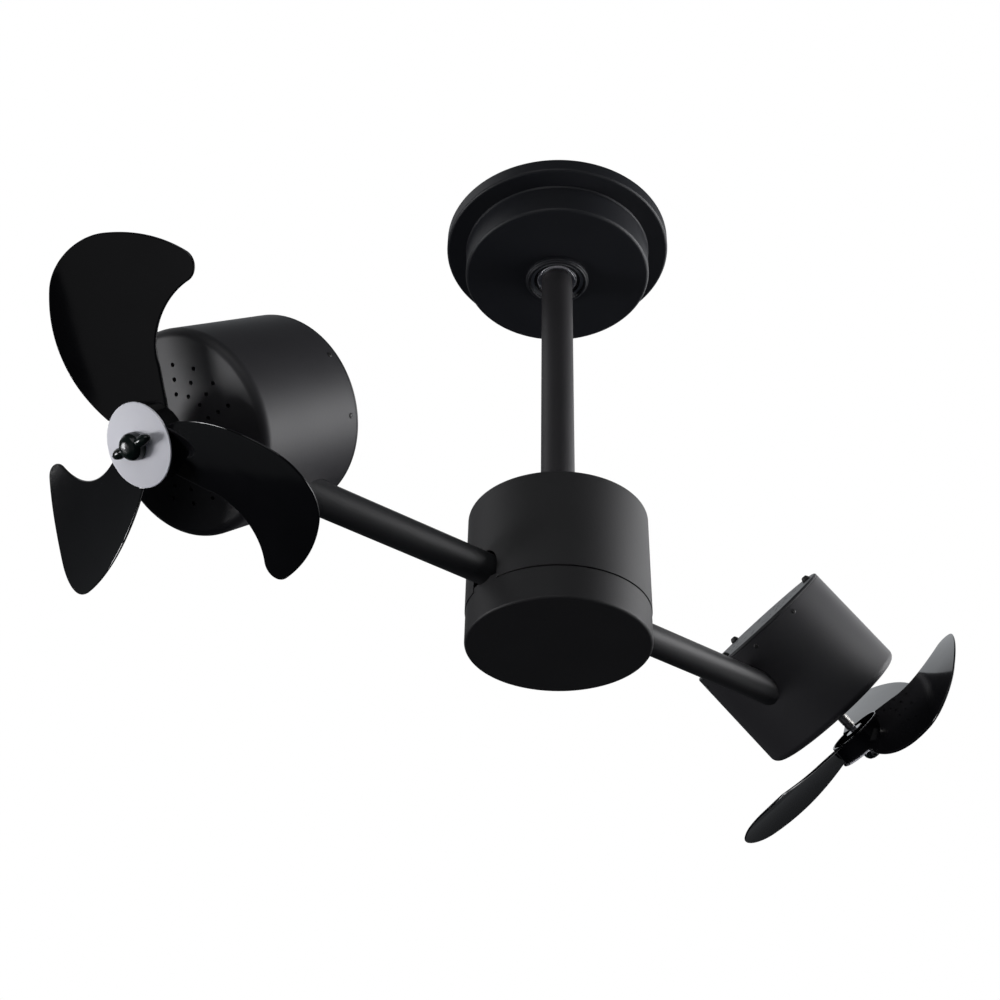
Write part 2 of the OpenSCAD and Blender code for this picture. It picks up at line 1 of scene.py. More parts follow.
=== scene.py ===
"""A twin head ceiling fan: canopy, turning downrod and hub, two arms and two aimed fan heads."""

import math

import bmesh
import bpy
from mathutils import Matrix, Vector


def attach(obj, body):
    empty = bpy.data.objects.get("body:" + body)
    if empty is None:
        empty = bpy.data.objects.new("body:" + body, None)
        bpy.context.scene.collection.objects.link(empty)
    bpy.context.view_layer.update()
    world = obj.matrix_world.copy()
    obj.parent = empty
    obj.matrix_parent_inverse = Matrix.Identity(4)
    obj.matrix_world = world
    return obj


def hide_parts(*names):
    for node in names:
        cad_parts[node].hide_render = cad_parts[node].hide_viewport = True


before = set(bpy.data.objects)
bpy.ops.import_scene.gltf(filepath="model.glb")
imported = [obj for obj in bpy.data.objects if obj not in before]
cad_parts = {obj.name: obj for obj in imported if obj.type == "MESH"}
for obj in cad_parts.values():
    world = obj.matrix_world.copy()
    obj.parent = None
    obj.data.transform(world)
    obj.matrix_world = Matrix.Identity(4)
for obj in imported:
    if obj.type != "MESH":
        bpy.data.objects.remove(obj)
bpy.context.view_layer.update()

# Camera. It stands low on the left of the fan, under the near head, and looks
# up across the hub, with a lens of about 49 mm on a 36 mm frame.
ahead = Vector((0.4807, 0.6540, 0.5842)).normalized()
level = Vector((ahead.y, -ahead.x, 0)).normalized()
above = level.cross(ahead)
roll = 0.026426
right = math.cos(roll) * level + math.sin(roll) * above
up = -math.sin(roll) * level + math.cos(roll) * above
camera = bpy.data.objects.new("camera", bpy.data.cameras.new("camera"))
bpy.context.collection.objects.link(camera)
camera.data.sensor_width = 36
camera.data.lens = 49.32
camera.data.clip_start = 0.05
camera.matrix_world = Matrix.Translation((-0.5451, -0.6660, -0.9004)) @ Matrix(
    (right, up, -ahead)
).transposed().to_4x4()
bpy.context.scene.camera = camera

# Studio. A white surround that only the camera sees, a dim cool sky with a soft
# patch for the gloss, large soft lamps, and a pale floor 2.5 m under the ceiling.
bpy.context.scene.view_settings.view_transform = "Standard"
world = bpy.data.worlds.new("studio")
bpy.context.scene.world = world
world.use_nodes = True
sky = world.node_tree
sky.nodes.clear()
rays = sky.nodes.new("ShaderNodeLightPath")
seen = sky.nodes.new("ShaderNodeMath")
seen.operation = "MAXIMUM"
sky.links.new(rays.outputs["Is Camera Ray"], seen.inputs[0])
sky.links.new(rays.outputs["Is Transmission Ray"], seen.inputs[1])
white = sky.nodes.new("ShaderNodeBackground")
white.inputs["Color"].default_value = (1, 1, 1, 1)
heading_of = sky.nodes.new("ShaderNodeTexCoord")


def glow(tone, base, aim, inner, outer, gain):
    """Dim light from all round, with a brighter patch: its direction, two angles and gain."""
    facing = sky.nodes.new("ShaderNodeVectorMath")
    facing.operation = "DOT_PRODUCT"
    facing.inputs[1].default_value = Vector(aim).normalized()
    sky.links.new(heading_of.outputs["Generated"], facing.inputs[0])
    rise = sky.nodes.new("ShaderNodeMapRange")
    rise.interpolation_type = "SMOOTHSTEP"
    rise.inputs["From Min"].default_value = math.cos(math.radians(outer))
    rise.inputs["From Max"].default_value = math.cos(math.radians(inner))
    rise.inputs["To Max"].default_value = gain
    sky.links.new(facing.outputs["Value"], rise.inputs["Value"])
    total = sky.nodes.new("ShaderNodeMath")
    total.inputs[1].default_value = base
    sky.links.new(rise.outputs[0], total.inputs[0])
    made = sky.nodes.new("ShaderNodeBackground")
    made.inputs["Color"].default_value = tone
    sky.links.new(total.outputs[0], made.inputs["Strength"])
    return made


gloss = glow((0.9, 0.95, 1, 1), 0.065, (0.32, 0.51, 0.80), 12, 24, 0.6)
fill = glow((0.84, 0.92, 1, 1), 0.062, (0, 0, 1), 10, 80, 0.05)
lit = sky.nodes.new("ShaderNodeMixShader")
sky.links.new(rays.outputs["Is Glossy Ray"], lit.inputs[0])
sky.links.new(fill.outputs[0], lit.inputs[1])
sky.links.new(gloss.outputs[0], lit.inputs[2])
shown = sky.nodes.new("ShaderNodeMixShader")
sky.links.new(seen.outputs[0], shown.inputs[0])
sky.links.new(lit.outputs[0], shown.inputs[1])
sky.links.new(white.outputs[0], shown.inputs[2])
sky.links.new(shown.outputs[0], sky.nodes.new("ShaderNodeOutputWorld").inputs["Surface"])


def lamp(name, heading, height, distance, size, power):
    """A square lamp aimed at the hub: heading and height in degrees, distance and size in m."""
    middle = Vector((0, 0, -0.36))
    turn, rise = math.radians(heading), math.radians(height)
    flat = math.cos(rise)
    out = Vector((flat * math.cos(turn), flat * math.sin(turn), math.sin(rise)))
    light = bpy.data.objects.new(name, bpy.data.lights.new(name, "AREA"))
    light.data.size = size
    light.data.energy = power
    light.data.color = (0.985, 0.985, 1.0)
    light.matrix_world = Matrix.Translation(middle + out * distance) @ (
        (-out).to_track_quat("-Z", "Y").to_matrix().to_4x4()
    )
    bpy.context.collection.objects.link(light)


lamp("key_right", -40, 8, 1.4, 0.95, 17.5)
lamp("low_right", -20, -12, 1.4, 0.95, 5.2)
lamp("high_right", 0, 28, 1.4, 0.95, 4.2)
lamp("soft_left", -140, 5, 2.2, 1.5, 7.6)
lamp("low_left", -180, -35, 2.2, 1.5, 1.2)
lamp("back_left", 140, 45, 2.2, 1.5, 5.5)
lamp("low_back_left", 149, -13, 2.0, 0.5, 15)
lamp("back_right", 60, 45, 2.2, 1.5, 2.2)

half, down = 6, -2.5
floor_mesh = bpy.data.meshes.new("studio_floor")
floor_mesh.from_pydata(
    [(-half, -half, down), (half, -half, down), (half, half, down), (-half, half, down)],
    [],
    [(0, 1, 2, 3)],
)
floor = bpy.data.objects.new("studio_floor", floor_mesh)
bpy.context.collection.objects.link(floor)
floor_paint = bpy.data.materials.new("pale_floor")
floor_paint.use_nodes = True
floor_shader = floor_paint.node_tree.nodes["Principled BSDF"]
floor_shader.inputs["Roughness"].default_value = 0.8
floor_shader.inputs["Emission Strength"].default_value = 1
floor_rays = floor_paint.node_tree.nodes.new("ShaderNodeLightPath")
for socket, unseen, in_view in (
    ("Base Color", (0.05, 0.055, 0.07, 1), (0.9, 0.9, 0.9, 1)),
    ("Emission Color", (0, 0, 0, 1), (0.66, 0.66, 0.67, 1)),
):
    tone = floor_paint.node_tree.nodes.new("ShaderNodeMix")
    tone.data_type = "RGBA"
    tone.inputs[6].default_value = unseen
    tone.inputs[7].default_value = in_view
    floor_paint.node_tree.links.new(floor_rays.outputs["Is Camera Ray"], tone.inputs["Factor"])
    floor_paint.node_tree.links.new(tone.outputs[2], floor_shader.inputs[socket])
floor_mesh.materials.append(floor_paint)


# Ceiling plate. A dish of 1.5 mm steel sheet, deep drawn and powder coated in
# satin black. It is trapped against the ceiling by the drum below it.
class Wire:
    """A node socket, or a node tree with none yet. Arithmetic on it adds Math nodes."""

    def __init__(self, tree, socket=None):
        self.tree = tree
        self.socket = socket

    def node(self, kind, settings, inputs, output=0):
        made = self.tree.nodes.new("ShaderNode" + kind)
        for name, value in settings.items():
            setattr(made, name, value)
        for name, value in inputs.items():
            if isinstance(value, Wire):
                self.tree.links.new(value.socket, made.inputs[name])
            else:
                made.inputs[name].default_value = value
        return Wire(self.tree, made.outputs[output])

    def maths(self, operation, a, b):
        return self.node("Math", {"operation": operation}, {0: a, 1: b})

    def __add__(self, other):
        return self.maths("ADD", self, other)

    __radd__ = __add__

    def __sub__(self, other):
        return self.maths("SUBTRACT", self, other)

    def __rsub__(self, other):
        return self.maths("SUBTRACT", other, self)

    def __mul__(self, other):
        return self.maths("MULTIPLY", self, other)

    __rmul__ = __mul__

    def noise(self, place, scale, detail):
        return self.node("TexNoise", {}, {"Vector": place, "Scale": scale, "Detail": detail})

    def place(self):
        return self.node("TexCoord", {}, {}, "Object")

    def tint(self, share, a, b):
        """Colour a turning to b as share goes from 0 to 1."""
        return self.node(
            "Mix", {"data_type": "RGBA"}, {"Factor": share, 6: (*a, 1), 7: (*b, 1)}, 2
        )

    def relief(self, height, depth, strength):
        inputs = {"Height": height, "Distance": depth, "Strength": strength}
        return self.node("Bump", {}, inputs, "Normal")


def surface(name, fixed):
    """A new material: its tree as a Wire, and its shader, with the fixed values set on it."""
    made = bpy.data.materials.new(name)
    made.use_nodes = True
    shader = made.node_tree.nodes["Principled BSDF"]
    for socket, value in fixed.items():
        shader.inputs[socket].default_value = value
    return made, Wire(made.node_tree), shader


def feed(wire, shader, **sockets):
    """Links wires to the shader's sockets, with _ for a space in a socket's name."""
    for name, source in sockets.items():
        wire.tree.links.new(source.socket, shader.inputs[name.replace("_", " ")])


def powder_coat(name, dark, pale, sheen):
    """Satin black powder coat: fine orange peel, a finer grain, and a slight cloudiness."""
    made, wire, shader = surface(name, {"Specular IOR Level": 0.5})
    where = wire.place()
    peel = wire.noise(where, 520, 2)
    grain = wire.noise(where, 1900, 1)
    cloud = wire.noise(where, 26, 3)
    feed(
        wire,
        shader,
        Base_Color=wire.tint(cloud * 0.7 + grain * 0.3, dark, pale),
        Roughness=sheen + cloud * 0.06 + grain * 0.08,
        Normal=wire.relief(peel * 0.6 + grain * 0.4, 0.00012, 0.5),
    )
    return made


def rounded(corners, steps=6, closed=True):
    """An outline from corners (radius, height, fillet), each fillet an arc of so many steps."""
    line = []
    last = len(corners) - 1
    for i, corner in enumerate(corners):
        here, fillet = Vector(corner[:2]), corner[2]
        if fillet == 0 or (not closed and i in (0, last)):
            line.append(here)
            continue
        back = (Vector(corners[i - 1][:2]) - here).normalized()
        on = (Vector(corners[(i + 1) % len(corners)][:2]) - here).normalized()
        half = math.acos(max(-1, min(1, back.dot(on)))) / 2
        centre = here + (back + on).normalized() * fillet / math.sin(half)
        start = here + back * fillet / math.tan(half) - centre
        turn = start.angle_signed(here + on * fillet / math.tan(half) - centre)
        for step in range(steps + 1):
            line.append(centre + Matrix.Rotation(-turn * step / steps, 2) @ start)
    return line


def turned(line, around=160, closed=True):
    """A mesh in millimetres: the outline spun round the Z axis."""
    mesh = bmesh.new()
    rings = []
    for r, z in line:
        if r < 1e-6:
            rings.append([mesh.verts.new((0, 0, z))])
            continue
        angles = [2 * math.pi * i / around for i in range(around)]
        rings.append([mesh.verts.new((r * math.cos(a), r * math.sin(a), z)) for a in angles])
    pairs = list(zip(rings, rings[1:])) + ([(rings[-1], rings[0])] if closed else [])
    for low, high in pairs:
        for i in range(around):
            j = (i + 1) % around
            corners = [low[i % len(low)], low[j % len(low)]]
            corners += [high[j % len(high)], high[i % len(high)]]
            unique = list(dict.fromkeys(corners))
            if len(unique) > 2:
                mesh.faces.new(unique)
    bmesh.ops.recalc_face_normals(mesh, faces=mesh.faces)
    return mesh


def piece(name, mesh, move=None):
    """The millimetre mesh as an object in metres, moved by a matrix, at the origin."""
    data = bpy.data.meshes.new(name)
    mesh.to_mesh(data)
    mesh.free()
    data.transform((move or Matrix.Identity(4)) @ Matrix.Scale(0.001, 4))
    made = bpy.data.objects.new(name, data)
    bpy.context.collection.objects.link(made)
    return made


def flatten(made):
    """Turns what an object's modifiers show into its plain mesh."""
    depth = bpy.context.evaluated_depsgraph_get()
    data = bpy.data.meshes.new_from_object(made.evaluated_get(depth))
    made.modifiers.clear()
    made.data = data
    return made


def smooth(made, crease=38, sliver=2e-6):
    """Smooth shading, crisp where faces meet steeply and flat on flats, with slivers removed."""
    mesh = bmesh.new()
    mesh.from_mesh(made.data)
    bmesh.ops.dissolve_degenerate(mesh, dist=sliver, edges=mesh.edges)
    for face in mesh.faces:
        face.smooth = True
    for edge in mesh.edges:
        edge.smooth = len(edge.link_faces) == 2 and edge.calc_face_angle() < math.radians(crease)
    mesh.to_mesh(made.data)
    mesh.free()
    made.modifiers.new("flats", "WEIGHTED_NORMAL").keep_sharp = True
    return flatten(made)


def finish(made, finish_of, slot, body, *nodes):
    """Gives the piece its material and lets it ride in place of its CAD nodes; slot is not used."""
    made.data.materials.clear()
    made.data.materials.append(finish_of)
    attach(made, body)
    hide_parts(*nodes)


# painted shade: the canopy's coat is darker and bluer than the same paint elsewhere, for the cool
# shade on its underside
canopy_coat_painted_shade = powder_coat(
    "canopy_powder_coat_painted_shade", (0.0070, 0.0080, 0.0112), (0.0108, 0.0118, 0.0158), 0.44
)
plate_r, plate_in, plate_low, sheet = 97.5, 75, -13, 1.5
plate_line = rounded(
    [
        (plate_in, plate_low, 0.5),
        (plate_r, plate_low, 2.4),
        (plate_r, 0, 0.6),
        (plate_r - sheet, 0, 0.5),
        (plate_r - sheet, plate_low + sheet, 1.2),
        (plate_in, plate_low + sheet, 0.5),
    ]
)
plate = smooth(piece("canopy_plate_drawn", turned(plate_line, 200)))
finish(plate, canopy_coat_painted_shade, "canopy_paint", "ceiling_mount", "ceiling_plate")

# Canopy drum. A second steel pressing with a rounded lower edge and a small
# rolled foot where it meets the plate. The collar and the housing hold it up.
drum_r, drum_low, drum_hole, foot = 80, -42, 23.1, 1
drum_line = rounded(
    [
        (drum_hole, drum_low, 0.4),
        (drum_r, drum_low, 3.0),
        (drum_r, plate_low - 2 * foot, 0.9),
        (drum_r + foot, plate_low, 0.3),
        (drum_r - sheet, plate_low, 0.3),
        (drum_r - sheet, drum_low + sheet, 1.6),
        (drum_hole, drum_low + sheet, 0.4),
    ]
)
drum = smooth(piece("canopy_drum_drawn", turned(drum_line, 200)))
finish(drum, canopy_coat_painted_shade, "canopy_paint", "ceiling_mount", "canopy_drum")

# Collar. A turned ring with a soft outer shoulder and a raised inner lip, which
# trims the hole in the drum round the bearing housing.
collar_r, collar_low, lip_r = 27.3, -47, 25.4
collar_line = rounded(
    [
        (drum_hole, drum_low, 0),
        (drum_hole, collar_low, 0.9),
        (lip_r, collar_low, 1.0),
        (lip_r + 0.5, collar_low + 1, 0.5),
        (collar_r, collar_low + 1.4, 1.3),
        (collar_r, drum_low, 0.3),
    ]
)
collar = smooth(piece("canopy_collar_turned", turned(collar_line, 120)))
finish(collar, canopy_coat_painted_shade, "canopy_paint", "ceiling_mount", "canopy_collar")

# Lower bearing. Two ground steel races round the rod: the outer one is pressed in the housing,
# its face painted dark from 17.4 mm out as shade of the recess; the inner one is on the rod.
def bright_steel(name, tone, rough):
    """Turned steel: faint scratches and a slightly uneven polish."""
    made, wire, shader = surface(name, {"Metallic": 1.0, "Specular IOR Level": 0.5})
    where = wire.place()
    polish = wire.noise(where, 160, 3)
    scratch = wire.noise(where, 2600, 1)
    pale = tuple(min(1, c * 1.12) for c in tone)
    feed(
        wire,
        shader,
        Base_Color=wire.tint(polish, tone, pale),
        Roughness=rough + polish * 0.12,
        Normal=wire.relief(scratch, 0.00003, 0.4),
    )
    return made


def race_painted_shade():
    """The outer race: ground steel near the rod, painted dark from 17.4 mm out as recess shade."""
    made, wire, shader = surface("race_painted_shade", {})
    where = wire.place()
    flat = wire.node("VectorMath", {"operation": "MULTIPLY"}, {0: where, 1: (1, 1, 0)})
    radius = wire.node("VectorMath", {"operation": "LENGTH"}, {0: flat}, "Value")
    # painted shade of the recess round the race: dark from 17.4 mm outwards
    recess_shade = wire.node("MapRange", {}, {"Value": radius, "From Min": 0.0172, "From Max": 0.0176})
    grain = wire.noise(where, 1400, 2)
    feed(
        wire,
        shader,
        Base_Color=wire.tint(recess_shade, (0.74, 0.74, 0.78), (0.015, 0.015, 0.018)),
        Metallic=0.5 - recess_shade * 0.5,
        Roughness=0.2 + grain * 0.1 + recess_shade * 0.2,
        Normal=wire.relief(grain, 0.00004, 0.4),
    )
    return made


race_steel = bright_steel("ground_steel", (0.60, 0.60, 0.63), 0.24)
race_low, race_top, groove_top = -44, -36, -43.4
outer_r, outer_bore, inner_r, inner_bore = 19.9, 15.75, 15.7, 13.4
outer_race = rounded(
    [
        (outer_bore, race_low, 0.4),
        (16.9, race_low, 0.3),
        (17.1, groove_top, 0),
        (18.0, groove_top, 0),
        (18.2, race_low, 0.3),
        (outer_r, race_low, 0.7),
        (outer_r, race_top, 0.5),
        (outer_bore, race_top, 0.5),
    ]
)
inner_race = rounded(
    [
        (inner_bore, race_low, 0.5),
        (inner_r, race_low, 0.5),
        (inner_r, race_top, 0.5),
        (inner_bore, race_top, 0.5),
    ]
)
ring = smooth(piece("bearing_outer_race", turned(outer_race, 96)))
finish(ring, race_painted_shade(), "bright_steel", "ceiling_mount", "lower_bearing_outer")
ring = smooth(piece("bearing_inner_race", turned(inner_race, 96)))
finish(ring, race_steel, "bright_steel", "turning_frame", "lower_bearing_inner")


# Hidden canopy parts. The zinc plated strap and bearing housing, the thrust
# race, the cross pins and the brass and plastic halves of the slip ring.
def zinc_plate(name):
    """Zinc plating: cold grey metal with broad cloudy patches."""
    made, wire, shader = surface(name, {"Metallic": 1.0})
    where = wire.place()
    cloud = wire.noise(where, 60, 4)
    grain = wire.noise(where, 1200, 1)
    feed(
        wire,
        shader,
        Base_Color=wire.tint(cloud, (0.42, 0.43, 0.46), (0.62, 0.63, 0.64)),
        Roughness=0.30 + cloud * 0.2,
        Normal=wire.relief(grain, 0.00005, 0.4),
    )
    return made


def moulded(name, dark, pale, rough):
    """Plain moulded plastic with a faint spark eroded grain."""
    made, wire, shader = surface(name, {})
    where = wire.place()
    grain = wire.noise(where, 1500, 2)
    feed(
        wire,
        shader,
        Base_Color=wire.tint(grain, dark, pale),
        Roughness=rough + grain * 0.15,
        Normal=wire.relief(grain, 0.00006, 0.5),
    )
    return made


def dress(finish_of, *names):
    """Gives CAD nodes whose shape is right their material."""
    for name in names:
        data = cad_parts[name].data
        data.materials.clear()
        data.materials.append(finish_of)


zinc = zinc_plate("zinc_plated_steel")
brass = bright_steel("slip_ring_brass", (0.70, 0.50, 0.20), 0.25)
insulator = moulded("slip_ring_plastic", (0.02, 0.02, 0.02), (0.045, 0.045, 0.045), 0.45)
dress(zinc, "ceiling_strap", "bearing_housing", "housing_screws", "rod_nut")
dress(race_steel, "thrust_bearing", "thrust_collar", "rod_pins", "arm_clips")
dress(brass, "slip_ring_spindle")
dress(insulator, "slip_ring_barrel")

# Downrod. A length of three quarter inch steel pipe, powder coated, with the
# bore open at both ends for the wires.
rod_coat = powder_coat("rod_powder_coat", (0.018, 0.017, 0.019), (0.027, 0.0255, 0.028), 0.46)
rod_r, rod_bore, rod_low, rod_top = 13.35, 10.6, -397.5, -8
rod_line = rounded(
    [
        (rod_bore, rod_low, 0.3),
        (rod_r, rod_low, 0.8),
        (rod_r, rod_top, 0.8),
        (rod_bore, rod_top, 0.3),
    ]
)
downrod = smooth(piece("downrod_pipe", turned(rod_line, 96)))
finish(downrod, rod_coat, "downrod_paint", "turning_frame", "downrod")


# Hub casing. A drawn steel drum, open below, with a round-topped slot on each
# side that lets it down over the arms.
def cut(made, tool, how="DIFFERENCE"):
    """Cuts the piece with a tool object, or joins the two, and removes the tool."""
    step = made.modifiers.new("cut", "BOOLEAN")
    step.operation = how
    step.solver = "MANIFOLD"
    step.object = tool
    flatten(made)
    bpy.data.objects.remove(tool)


def peg(radius, low, high, around=64):
    """A plain round cutter along Z."""
    corners = ((0, low), (radius, low), (radius, high), (0, high))
    return turned([Vector(corner) for corner in corners], around, False)


def solid(mesh, rings):
    """Joins rings of corners into one closed solid, with a face at each end."""
    mesh.faces.new(rings[0])
    mesh.faces.new(rings[-1])
    for a, b in zip(rings, rings[1:]):
        for i in range(len(a)):
            j = (i + 1) % len(a)
            mesh.faces.new((a[i], a[j], b[j], b[i]))
    bmesh.ops.recalc_face_normals(mesh, faces=mesh.faces)
    return mesh


def arm_slot(half, low, arc_steps=32):
    """A cutter along X with a half round top at the arm's height."""
    mesh = bmesh.new()
    arc = [math.pi * i / arc_steps for i in range(arc_steps + 1)]
    outline = [(half * math.cos(a), arm_height + half * math.sin(a)) for a in arc]
    outline += [(-half, low), (half, low)]
    return solid(mesh, [[mesh.verts.new((x, y, z)) for y, z in outline] for x in (-90, 90)])


hub_coat = powder_coat("hub_powder_coat", (0.015, 0.0148, 0.0156), (0.0245, 0.024, 0.0255), 0.50)
hub_r, hub_top, seam, rod_hole = 68.5, -303.5, -384, 13.45
arm_height, slot_half = -371, 13.7
screw_out, screw_hole_r = 0.036, 2.1
casing_line = rounded(
    [
        (rod_hole, hub_top, 0.4),
        (hub_r, hub_top, 1.0),
        (hub_r, seam, 0.35),
        (hub_r - sheet, seam, 0.3),
        (hub_r - sheet, hub_top - 2, 0.8),
        (rod_hole, hub_top - 2, 0.3),
    ]
)
casing = piece("hub_casing_drawn", turned(casing_line, 200))
cut(casing, piece("slot_cutter", arm_slot(slot_half, seam - 6)))
for side in (-1, 1):
    hole = Matrix.Translation((side * screw_out, 0, 0))
    cut(casing, piece("screw_hole", peg(screw_hole_r, hub_top - 6.5, hub_top + 3.5, 32), hole))
smooth(casing)
finish(casing, hub_coat, "hub_paint", "turning_frame", "hub_casing")

# Hub cup. The drawn lower half: a lip seats inside the casing, a fine shadow
# line shows at the seam, and a tongue closes each slot under its arm.
cup_r, cup_low, cup_in, cup_wall_top, lip_top = 68, -411, 64.5, -384.7, -381
tongue_half, arm_hole_r = 13.3, 12.35
cup_line = rounded(
    [
        (0, cup_low, 0),
        (cup_r, cup_low, 2.2),
        (cup_r, cup_wall_top, 0.35),
        (cup_r - 1.1, cup_wall_top, 0),
        (cup_r - 1.1, lip_top, 0.3),
        (cup_in, lip_top, 0.3),
        (cup_in, cup_low + 2, 1.5),
        (0, cup_low + 2, 0),
    ],
    8,
    False,
)
cup = piece("hub_cup_drawn", turned(cup_line, 200, False))


def tongue(side):
    """The wall's stretch that stands up in one slot."""
    mesh = bmesh.new()
    spread = math.asin(tongue_half / cup_r)
    inside, root = cup_r - 2, cup_wall_top - 0.5
    section = ((inside, root), (cup_r, root), (cup_r, lip_top), (inside, lip_top))
    rings = []
    for i in range(21):
        a = spread * (i / 10 - 1)
        c, s = side * math.cos(a), math.sin(a)
        rings.append([mesh.verts.new((r * c, r * s, z)) for r, z in section])
    return solid(mesh, rings)


at_arms = Matrix.Translation((0, 0, arm_height / 1000))
lying = at_arms @ Matrix.Rotation(math.pi / 2, 4, "Y")
for side in (-1, 1):
    cut(cup, piece("tongue", tongue(side)), "UNION")
cut(cup, piece("arm_cutter", peg(arm_hole_r, -100, 100), lying))
smooth(cup)
# painted shade: the cup's coat is darker than the casing's same paint, for the shade on the hub's
# underside
cup_coat_painted_shade = powder_coat("cup_powder_coat_painted_shade", (0.0105, 0.0102, 0.0112), (0.0175, 0.017, 0.0185), 0.48)
finish(cup, cup_coat_painted_shade, "hub_paint", "turning_frame", "hub_cup")


# Inside the hub. A cast block clamps the rod and the arms, and carries the two
# capacitors and the control board.
def cast_alloy(name):
    """Die cast alloy: pale grey with a sandy skin."""
    made, wire, shader = surface(name, {"Metallic": 0.9})
    where = wire.place()
    sand = wire.noise(where, 700, 4)
    flow = wire.noise(where, 40, 3)
    feed(
        wire,
        shader,
        Base_Color=wire.tint(flow, (0.45, 0.45, 0.46), (0.60, 0.60, 0.60)),
        Roughness=0.45 + sand * 0.2,
        Normal=wire.relief(sand, 0.00015, 0.6),
    )
    return made


cast = cast_alloy("die_cast_alloy")
black_oxide = powder_coat("blackened_screws", (0.012, 0.012, 0.012), (0.025, 0.025, 0.025), 0.42)
capacitor_case = moulded("capacitor_case", (0.70, 0.70, 0.68), (0.82, 0.82, 0.79), 0.4)
laminate = moulded("board_laminate", (0.01, 0.10, 0.04), (0.02, 0.15, 0.06), 0.3)
dress(cast, "hub_block")
dress(black_oxide, "arm_set_screws", "left_arm_lock_screw", "right_arm_lock_screw")
dress(capacitor_case, "capacitors")
dress(laminate, "control_board")


# Casing screws. Two pan head machine screws with a cross recess, which hold the
# casing's top on the block's posts.
def pan_head(head, tall, shank, depth):
    """A screw that stands up along Z with its head's seat at the origin."""
    line = rounded(
        [
            (0, tall, 0),
            (head * 0.62, tall, head * 0.4),
            (head, tall * 0.35, head * 0.12),
            (head, 0, 0),
            (shank, 0, 0),
            (shank, -depth, 0.2),
            (0, -depth, 0),
        ],
        4,
        False,
    )
    screw = piece("pan_head", turned(line, 32, False))
    size = Matrix.Diagonal((head * 1.1, head * 0.22, tall * 0.9, 1))
    for turn in (0, math.pi / 2):
        bar = bmesh.new()
        bmesh.ops.create_cube(bar, size=1.0)
        bar.transform(Matrix.Translation((0, 0, tall)) @ Matrix.Rotation(turn, 4, "Z") @ size)
        cut(screw, piece("recess", bar))
    return smooth(screw)


def add_copies(made, part, places):
    """Adds copies of a part's mesh to a piece, each moved by a matrix."""
    mesh = bmesh.new()
    mesh.from_mesh(made.data)
    for place in places:
        one = part.data.copy()
        one.transform(place)
        mesh.from_mesh(one)
        bpy.data.meshes.remove(one)
    mesh.to_mesh(made.data)
    mesh.free()


m4_screw = pan_head(3.9, 2.8, 1.9, 13.5)
screws = piece("hub_casing_screws", bmesh.new())
tops = [Matrix.Translation((side * screw_out, 0, hub_top / 1000)) for side in (-1, 1)]
add_copies(screws, m4_screw, tops)
smooth(screws)
finish(screws, black_oxide, "screw_black", "turning_frame", "casing_screws")

# Arms. Two straight steel tubes of 24 mm, powder coated, that run from the block
# out through the slots and into the heads, each with a groove for its clip.
arm_coat = powder_coat("arm_powder_coat", (0.016, 0.016, 0.017), (0.025, 0.025, 0.027), 0.42)
heads = {
    "left": {"side": -1, "reach": 311, "lean": 12.2, "phase": 34.3, "nut": 71},
    "right": {"side": 1, "reach": 309, "lean": 14.5, "phase": 57.6, "nut": -25},
}
head_angle = math.radians(42.9)
motor_room, clip_r = 42, 13.8
arm_stop = (motor_room + clip_r * math.cos(head_angle)) / math.sin(head_angle)
arm_r, arm_bore, arm_root, groove_r = 12, 10.4, 17, 11.3
clip_in, clip_t = 1.2, 1.5
for name, head in heads.items():
    far = head["reach"] - arm_stop
    groove_in, groove_out = far - clip_in - clip_t, far - clip_in
    arm_line = rounded(
        [
            (arm_bore, arm_root, 0.3),
            (arm_r, arm_root, 0.5),
            (arm_r, groove_in, 0),
            (groove_r, groove_in, 0),
            (groove_r, groove_out, 0),
            (arm_r, groove_out, 0),
            (arm_r, far, 0.5),
            (arm_bore, far, 0.3),
        ]
    )
    outwards = at_arms @ Matrix.Rotation(head["side"] * math.pi / 2, 4, "Y")
    arm = smooth(piece(name + "_arm_tube", turned(arm_line, 96), outwards))
    finish(arm, arm_coat, "arm_paint", "turning_frame", name + "_arm")


# Head shells. A deep drawn drum with a softly domed face, three rings of vent
# holes, and a cast boss inside its wall, in which the arm's end can turn.
def geometry_tree(name, inputs, nodes, links):
    """A Geometry Nodes tree: its inputs, its nodes with their settings, and its links."""
    tree = bpy.data.node_groups.new(name, "GeometryNodeTree")
    for title, kind in inputs.items():
        tree.interface.new_socket(title, in_out="INPUT", socket_type="NodeSocket" + kind)
    tree.interface.new_socket("Geometry", in_out="OUTPUT", socket_type="NodeSocketGeometry")
    made = {}
    for title, (kind, settings) in nodes.items():
        made[title] = tree.nodes.new(kind)
        made[title].name = title
        for setting, value in settings.items():
            setattr(made[title], setting, value)
    for source, target in links:
        (a, output), (b, entry) = source.split("."), target.split(".")
        tree.links.new(made[a].outputs[output], made[b].inputs[entry])
    return tree


def through_tree(made, tree, values):
    """Runs a piece through a tree with these input values, and keeps the result as its mesh."""
    step = made.modifiers.new(tree.name, "NODES")
    step.node_group = tree
    for item in tree.interface.items_tree:
        if item.in_out == "INPUT" and item.name in values:
            step[item.identifier] = values[item.name]
    return flatten(made)


face_outwards = ("FunctionNodeAlignEulerToVector", {"axis": "X", "pivot_axis": "Z"})
